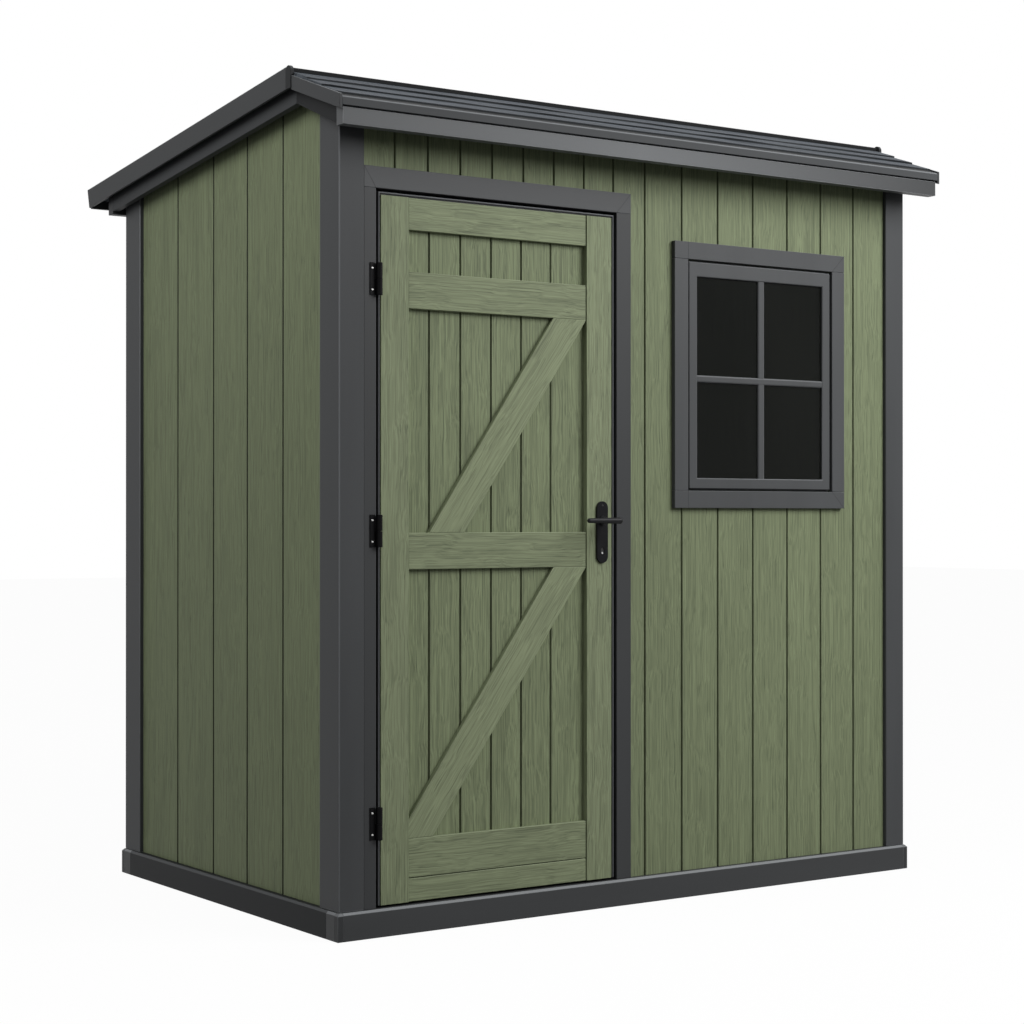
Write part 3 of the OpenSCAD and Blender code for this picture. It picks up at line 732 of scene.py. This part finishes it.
def dressAll(body, *looks):
    for look in looks:
        for node in look["nodes"]:
            dressNode(node, look, body)
        print("dressed:", ", ".join(look["nodes"]))


def spaced(start, pitch, count):
    return [start + pitch * index for index in range(count)]


# base
plinthBoards = {
    "nodes": ["front_plinth", "back_plinth"], "finish": "plinth", "slot": "grey_resin", "ease": 0.0008,
}
sidePlinths = {
    "nodes": ["left_plinth", "right_plinth"], "finish": "shadedSidePlinth", "slot": "grey_resin", "ease": 0.0008,
}
plinthCaps = {
    "nodes": ["plinth_corner_caps"], "finish": "plinthCap", "slot": "grey_resin", "ease": 0.0012,
    "highlighted": 0.8,
}
floorPanel = {"nodes": ["floor_panel"], "finish": "floor", "slot": "floor_resin", "ease": 0.002}
dressAll("shed", plinthBoards, sidePlinths, plinthCaps, floorPanel)

# walls, with their planks
sideGrooves = [-0.3252, -0.1225, 0.0802, 0.3079]
wallBoards = {
    "nodes": ["left_wall", "right_wall", "back_wall", "front_wall", "front_wall_over_door"],
    "finish": "upright", "slot": "green_resin", "ease": 0.0012, "highlighted": 0.35,
    # with the share of painted shade in each wall's grooves
    "planks": {
        "left_wall": {"axis": 1, "grooves": sideGrooves, "faces": 0, "sign": -1, "recessShade": 1.0},
        "right_wall": {"axis": 1, "grooves": sideGrooves, "faces": 0, "sign": 1, "recessShade": 1.0},
        "back_wall": {
            "axis": 0, "grooves": spaced(-0.7962, 0.1327, 13), "faces": 1, "sign": 1, "recessShade": 0.8,
        },
        "front_wall": {
            "axis": 0, "grooves": spaced(-0.0030, 0.1327, 7), "faces": 1, "sign": -1, "recessShade": 0.4,
        },
        "front_wall_over_door": {
            "axis": 0, "grooves": spaced(-0.8210, 0.1010, 8), "faces": 1, "sign": -1, "recessShade": 0.4,
        },
    },
}
cornerPosts = {
    "nodes": ["front_left_post", "front_right_post", "back_left_post", "back_right_post"],
    "finish": "post", "slot": "grey_resin", "ease": 0.0028, "segments": 3, "highlighted": 1.0,
    "outward": True,
}
doorJambs = {"nodes": ["hinge_jamb", "latch_jamb"], "finish": "jamb", "slot": "grey_resin", "ease": 0.0012}
doorHeader = {"nodes": ["door_header"], "finish": "header", "slot": "grey_resin", "ease": 0.0012}
dressAll("shed", wallBoards, cornerPosts, doorJambs, doorHeader)

# window
windowCasing = {"nodes": ["window_casing"], "finish": "trim", "slot": "grey_resin", "ease": 0.0010}
windowSash = {"nodes": ["window_sash"], "finish": "trim", "slot": "grey_resin", "ease": 0.0026}
windowPane = {"nodes": ["window_glass"], "finish": "glass", "slot": "window_glass", "ease": 0.0004}
windowBars = {
    "uprightWidth": 0.024, "uprightX": 0.4210,
    "levelWidth": 0.020, "levelZ": 1.4640,
    "setback": 0.001,  # behind the face of the sash
    "uprightBehind": 0.0006,  # behind the level bar
    "chamfer": 0.0040,
    "segments": 2,
    "frontDepth": 0.001,  # edges no deeper than this are at the front
    "parallel": 0.9,  # and those more parallel to the bar than this run along it
}
dressAll("shed", windowCasing, windowSash, windowPane)


def block(bm, low, high):
    middle = (Vector(low) + Vector(high)) / 2
    size = Vector(high) - Vector(low)
    matrix = Matrix.Translation(middle) @ Matrix.Diagonal((*size, 1.0))
    bmesh.ops.create_cube(bm, size=1.0, matrix=matrix)


# a glazing bar with its two front edges chamfered
def addBar(name, low, high, along):
    bm = bmesh.new()
    block(bm, low, high)
    front = [
        edge for edge in bm.edges
        if abs((edge.verts[0].co - edge.verts[1].co).normalized()[along]) > windowBars["parallel"]
        and all(vert.co.y < low[1] + windowBars["frontDepth"] for vert in edge.verts)
    ]
    setTones(bm, name)
    # the chamfers get the painted highlight
    rim = faceLayer(bm, "rim")
    for face in bevelled(bm, front, windowBars["chamfer"], windowBars["segments"]):
        face[rim] = rubbing(face, 0.0)
    addPiece(bm, name, "shed", "trim")


glassLow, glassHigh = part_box("window_glass")
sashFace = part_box("window_sash")[0].y + windowBars["setback"]
uprightHalf = windowBars["uprightWidth"] / 2
levelHalf = windowBars["levelWidth"] / 2
addBar(
    "window_upright_bar",
    (windowBars["uprightX"] - uprightHalf, sashFace + windowBars["uprightBehind"], glassLow.z),
    (windowBars["uprightX"] + uprightHalf, glassLow.y, glassHigh.z),
    2,
)
addBar(
    "window_level_bar",
    (glassLow.x, sashFace, windowBars["levelZ"] - levelHalf),
    (glassHigh.x, glassLow.y, windowBars["levelZ"] + levelHalf),
    0,
)
print("window barred")

# fine joint lines where the boards round the window and the doorway meet
mitreLines = {"width": 0.0011, "proud": 0.0001, "sunk": 0.0008}


def addMitre(bm, face, start, end):
    run = Vector((end[0] - start[0], 0, end[1] - start[1]))
    middle = Vector((start[0], face - mitreLines["proud"] + mitreLines["sunk"] / 2, start[1])) + run / 2
    turn = Matrix.Rotation(math.atan2(-run.z, run.x), 4, "Y")
    size = Matrix.Diagonal((run.length, mitreLines["sunk"], mitreLines["width"], 1.0))
    bmesh.ops.create_cube(bm, size=1.0, matrix=Matrix.Translation(middle) @ turn @ size)


def addMitres():
    bm = bmesh.new()
    outLow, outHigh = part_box("window_casing")
    inLow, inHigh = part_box("window_sash")
    # upright at the left corners, slanted at the right ones
    for startX, endX in ((inLow.x, inLow.x), (outHigh.x, inHigh.x)):
        for outZ, inZ in ((outLow.z, inLow.z), (outHigh.z, inHigh.z)):
            addMitre(bm, outLow.y, (startX, outZ), (endX, inZ))
    headLow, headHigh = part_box("door_header")
    trimLow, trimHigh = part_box("door_edge_trim")
    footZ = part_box("hinge_jamb")[1].z
    gap = footZ - trimHigh.z
    addMitre(bm, headLow.y, (headLow.x, headHigh.z), (trimLow.x - gap, footZ))
    addMitre(bm, headLow.y, (headHigh.x, headHigh.z), (trimHigh.x + gap, footZ))
    setTones(bm, "mitres")
    addPiece(bm, "mitre_lines", "shed", "joint")


addMitres()
print("mitres scribed")

# roof
roofPanels = {
    "front_roof_panel": {"faces": -1, "pitch": 0.0760, "start": -0.7100, "courses": 3},
    "rear_roof_panel": {"faces": 1, "pitch": 0.0609, "start": -0.4380, "courses": 20},
}
lapWave = {
    "cuts": 90,
    "cutReach": 0.00001,  # points this near to a cut are on it
    "riser": 0.9,  # a face that looks further outward than this is a riser
    "lip": 0.002,  # points this near to the top of a riser are on its lip
    "endRoom": 0.001,  # the ends of the roof stay straight
    "height": 0.0020,
    "lean": 0.2,  # the wave lies a little low
    "drift": 0.0040,
    "driftFrom": (41.0, 0.0, 0.0),
    "scale": 4.5,
    "courseStep": 3.7,
    "slopeStep": 9.0,
}


# lapped boards whose lower edges waver a little, with painted shade on the riser of each lap
def dressRoof(node, look):
    bm = mergedCopy(node)
    low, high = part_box(node)
    setTones(bm, node, {"axis": 1, "grooves": spaced(look["start"], look["pitch"], look["courses"])})
    for cut in range(1, lapWave["cuts"]):
        x = low.x + (high.x - low.x) * cut / lapWave["cuts"]
        bmesh.ops.bisect_plane(
            bm, geom=bm.verts[:] + bm.edges[:] + bm.faces[:],
            plane_co=(x, 0, 0), plane_no=(1, 0, 0), dist=lapWave["cutReach"],
        )
    lap = faceLayer(bm, "lap")
    # the risers get painted shade
    risers = [face for face in bm.faces if face.normal.y * look["faces"] > lapWave["riser"]]
    lips = set()
    for face in risers:
        face[lap] = 1.0
        top = max(vert.co.z for vert in face.verts)
        lips.update(vert for vert in face.verts if vert.co.z > top - lapWave["lip"])
    room = lapWave["endRoom"]
    inside = [vert for vert in lips if low.x + room < vert.co.x < high.x - room]
    for vert in inside:
        course = math.floor((vert.co.y - look["start"]) / look["pitch"] + 0.5)
        along = vert.co.x * lapWave["scale"]
        place = Vector((along, course * lapWave["courseStep"], look["faces"] * lapWave["slopeStep"]))
        vert.co.z += lapWave["height"] * (noise.noise(place) - lapWave["lean"])
        vert.co.y += lapWave["drift"] * noise.noise(place + Vector(lapWave["driftFrom"]))
    addPiece(bm, node + "_dressed", "shed", "roof", [node])


for node, look in roofPanels.items():
    dressRoof(node, look)
print("roof lapped")
ridgeCap = {"nodes": ["ridge_cap"], "finish": "ridge", "slot": "grey_resin", "ease": 0.0010}
ridgeEnds = {
    "nodes": ["ridge_end_caps"], "finish": "cap", "slot": "grey_resin", "ease": 0.0010, "round": True,
    "sharp": 40,
}
rakeBoards = {
    "nodes": ["front_rake_boards", "rear_rake_boards", "rear_fascia"],
    "finish": "rake", "slot": "grey_resin", "ease": 0.0012,
}
# the front inner rakes get a painted shadow
innerRakes = {
    "nodes": ["left_inner_rakes", "right_inner_rakes"],
    "finish": "innerRake", "slot": "grey_resin", "ease": 0.0012, "darkFront": (-0.478, 0.95),
}
# the strips' tops get painted shade
eaveStrips = {
    "nodes": ["front_eave_strip", "rear_eave_strip"],
    "finish": "strip", "slot": "grey_resin", "ease": 0.0008, "darkTop": True,
}
frontFascia = {
    "nodes": ["front_fascia"], "finish": "fascia", "slot": "grey_resin", "ease": 0.0010, "highlighted": 0.8,
}
dressAll("shed", ridgeCap, ridgeEnds, rakeBoards, innerRakes, eaveStrips, frontFascia)

# door
doorPlanks = {
    "nodes": ["door_panel"], "finish": "plank", "slot": "green_resin", "ease": 0.0008, "highlighted": 0.35,
    # with the share of painted shade in the door's grooves
    "planks": {
        "door_panel": {
            "axis": 0, "grooves": spaced(-0.7100, 0.0975, 5), "faces": 1, "sign": -1, "recessShade": 0.4,
        },
    },
}
doorStiles = {"nodes": ["door_stiles"], "finish": "stile", "slot": "green_resin", "ease": 0.0014}
doorRails = {
    "nodes": ["door_rails", "door_kick_board"], "finish": "level", "slot": "green_resin", "ease": 0.0016,
    "endGap": 0.0012,
}
doorBraces = {"nodes": ["door_braces"], "finish": "brace", "slot": "green_resin", "ease": 0.0016}
doorEdge = {"nodes": ["door_edge_trim"], "finish": "edge", "slot": "edge_trim", "ease": 0.0006}
doorBead = {"width": 0.0036, "inset": 0.0004, "sunk": 0.002, "ease": 0.0010}
dressAll("door", doorPlanks, doorStiles, doorRails, doorBraces, doorEdge)


# the grey bead that runs up both sides of the leaf and over its top, level with the stiles
def addDoorBead():
    low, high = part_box("door_edge_trim")
    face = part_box("door_stiles")[0].y
    outerX0 = low.x + doorBead["inset"]
    outerX1 = high.x - doorBead["inset"]
    outerZ = high.z - doorBead["inset"]
    width = doorBead["width"]
    corners = [
        (outerX0, low.z), (outerX0, outerZ), (outerX1, outerZ), (outerX1, low.z),
        (outerX1 - width, low.z), (outerX1 - width, outerZ - width),
        (outerX0 + width, outerZ - width), (outerX0 + width, low.z),
    ]
    bm = bmesh.new()
    back = low.y + doorBead["sunk"]
    outline = bm.faces.new([bm.verts.new((x, back, z)) for x, z in corners])
    grown = bmesh.ops.extrude_face_region(bm, geom=[outline])
    moved = [item for item in grown["geom"] if isinstance(item, bmesh.types.BMVert)]
    bmesh.ops.translate(bm, verts=moved, vec=(0, face - back, 0))
    bmesh.ops.recalc_face_normals(bm, faces=bm.faces)
    setTones(bm, "bead")
    easeEdges(bm, doorBead)
    addPiece(bm, "door_bead", "door", "bead")


addDoorBead()
print("door hung")

# hinges, plate, lever and lock
frameHinges = {
    "nodes": ["hinge_frame_leaves"], "finish": "hinge", "slot": "black_metal", "ease": 0.0005, "round": True,
    "sharp": 40, "highlighted": 0.6,
}
doorHinges = {
    "nodes": ["hinge_door_leaves"], "finish": "hinge", "slot": "black_metal", "ease": 0.0007, "round": True,
    "sharp": 40, "highlighted": 0.6,
}
handlePlate = {
    "nodes": ["handle_plate"], "finish": "plate", "slot": "black_metal", "ease": 0.0007, "round": True,
    "sharp": 40, "highlighted": 1.0,
}
lever = {
    "nodes": ["lever_handle"], "finish": "black", "slot": "black_metal", "ease": 0.0007, "round": True,
    "sharp": 40,
}
lockBarrel = {
    "nodes": ["lock_cylinder"], "finish": "barrel", "slot": "bright_metal", "ease": 0.0005, "round": True,
    "sharp": 40,
}
dressAll("shed", frameHinges)
dressAll("door", doorHinges, handlePlate)
dressAll("lever", lever)
dressAll("door", lockBarrel)
hingeScrews = {
    "radius": 0.0029, "height": 0.0013, "fromEnd": 0.014, "fromEdge": 0.0070,
    "leaf": 0.0025,  # from the back of a hinge leaf to its face
}
plateScrew = {"radius": 0.0034, "height": 0.0010, "fromTop": 0.0105}
lockPlug = {"radius": 0.0031, "height": 0.0010, "drop": 0.0046}
headShape = {
    "segments": 20,
    "taper": 0.7,  # of the radius
    "border": 0.28,  # of the radius, round the hollow
    "hollow": 0.7,  # of the height
}


# a screw head or lock plug that looks to the front, with a round hollow sunk in it
def addHead(bm, place, look):
    matrix = Matrix.Translation(Vector(place) - Vector((0, look["height"] / 2, 0)))
    matrix = matrix @ Matrix.Rotation(math.radians(90), 4, "X")
    head = bmesh.ops.create_cone(
        bm, cap_ends=True, segments=headShape["segments"], radius1=look["radius"],
        radius2=look["radius"] * headShape["taper"], depth=look["height"], matrix=matrix,
    )
    faces = {face for vert in head["verts"] for face in vert.link_faces}
    top = min(faces, key=lambda face: face.calc_center_median().y)
    bmesh.ops.inset_region(bm, faces=[top], thickness=look["radius"] * headShape["border"])
    bmesh.ops.translate(bm, verts=top.verts, vec=(0, look["height"] * headShape["hollow"], 0))


def addHingeScrews():
    bm = bmesh.new()
    leaves = mergedCopy("hinge_frame_leaves")
    for island in islands(leaves):
        points = [vert.co for face in island for vert in face.verts]
        left = min(point.x for point in points)
        face = max(point.y for point in points) - hingeScrews["leaf"]
        bottom = min(point.z for point in points)
        top = max(point.z for point in points)
        for height in (bottom + hingeScrews["fromEnd"], top - hingeScrews["fromEnd"]):
            addHead(bm, (left + hingeScrews["fromEdge"], face, height), hingeScrews)
    leaves.free()
    addPiece(bm, "hinge_screws", "shed", "steel")


def addPlateScrew():
    bm = bmesh.new()
    low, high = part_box("handle_plate")
    addHead(bm, ((low.x + high.x) / 2, low.y, high.z - plateScrew["fromTop"]), plateScrew)
    addPiece(bm, "plate_screw", "door", "barrel")


def addLockPlug():
    bm = bmesh.new()
    low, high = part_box("lock_cylinder")
    middle = (low + high) / 2
    addHead(bm, (middle.x, low.y, middle.z - lockPlug["drop"]), lockPlug)
    addPiece(bm, "lock_plug", "door", "steel")


addHingeScrews()
addPlateScrew()
addLockPlug()
print("hardware fitted")

# studio: white surroundings, a key light from the front right, a soft fill from the left, a floor
studio = {
    "low": 0.08,  # light of the surroundings at the horizon
    "rise": 0.60,  # and how much more comes from straight above
    "key": {
        "from": (0.66, -1.0, 0.76), "at": (0.0, -0.65, 1.30), "away": 4.6, "size": 3.4, "power": 246.0,
    },
    "fill": {
        "from": (-1.0, -0.25, 0.80), "at": (-1.0, 0.1, 1.60), "away": 2.9, "size": 2.0, "power": 46.0,
    },
    "floorSize": 60.0,
    "floorColour": 0.12,
    "floorWhite": 1.28,
    "floorShade": 0.25,  # how much of the floor's shadow shows
    "floorDrop": 0.0005,  # under the ground face
}


# 1 for what the camera, a mirror or a pane sees straight on
def seenPlainly(wire):
    path = wire.node("ShaderNodeLightPath", {}, {}, "Is Camera Ray")
    seen = wire.maths("MAXIMUM", path, path.other("Is Glossy Ray"))
    return wire.maths("MAXIMUM", seen, path.other("Is Transmission Ray"))


def lightStudio():
    world = bpy.data.worlds.new("studio")
    world.use_nodes = True
    world.node_tree.nodes.clear()
    scene.world = world
    wire = Wire(world.node_tree)
    place = wire.node("ShaderNodeTexCoord", {}, {}, "Generated")
    up = wire.node("ShaderNodeSeparateXYZ", {}, {0: place}).other(2)
    light = studio["low"] + wire.maths("MAXIMUM", up, 0.0) * studio["rise"]
    seen = seenPlainly(wire)
    strength = seen + (1 - seen) * light
    sky = wire.node("ShaderNodeBackground", {}, {"Color": (1, 1, 1, 1), "Strength": strength})
    wire.node("ShaderNodeOutputWorld", {}, {"Surface": sky})
    for name in ("key", "fill"):
        look = studio[name]
        lamp = bpy.data.lights.new(name, "AREA")
        lamp.shape = "DISK"
        lamp.size = look["size"]
        lamp.energy = look["power"]
        stand = bpy.data.objects.new(name, lamp)
        towards = Vector(look["from"]).normalized()
        stand.location = Vector(look["at"]) + towards * look["away"]
        stand.rotation_euler = towards.to_track_quat("Z", "Y").to_euler()
        scene.collection.objects.link(stand)


def layFloor():
    material, wire = startFinish("pale floor")
    grey = studio["floorColour"]
    shaded = wire.node("ShaderNodeBsdfDiffuse", {}, {"Color": (grey, grey, grey, 1)})
    white = wire.node("ShaderNodeEmission", {}, {"Color": (1, 1, 1, 1), "Strength": studio["floorWhite"]})
    amount = seenPlainly(wire) * (1 - studio["floorShade"])
    mixed = wire.node("ShaderNodeMixShader", {}, {0: amount, 1: shaded, 2: white})
    wire.node("ShaderNodeOutputMaterial", {}, {"Surface": mixed})
    bm = bmesh.new()
    bmesh.ops.create_grid(bm, x_segments=1, y_segments=1, size=studio["floorSize"] / 2)
    bmesh.ops.translate(bm, verts=bm.verts, vec=(0, 0, -studio["floorDrop"]))
    mesh = bpy.data.meshes.new("studio_floor")
    bm.to_mesh(mesh)
    bm.free()
    mesh.materials.append(material)
    ground = bpy.data.objects.new("studio_floor", mesh)
    scene.collection.objects.link(ground)


lightStudio()
layFloor()
print("studio lit")
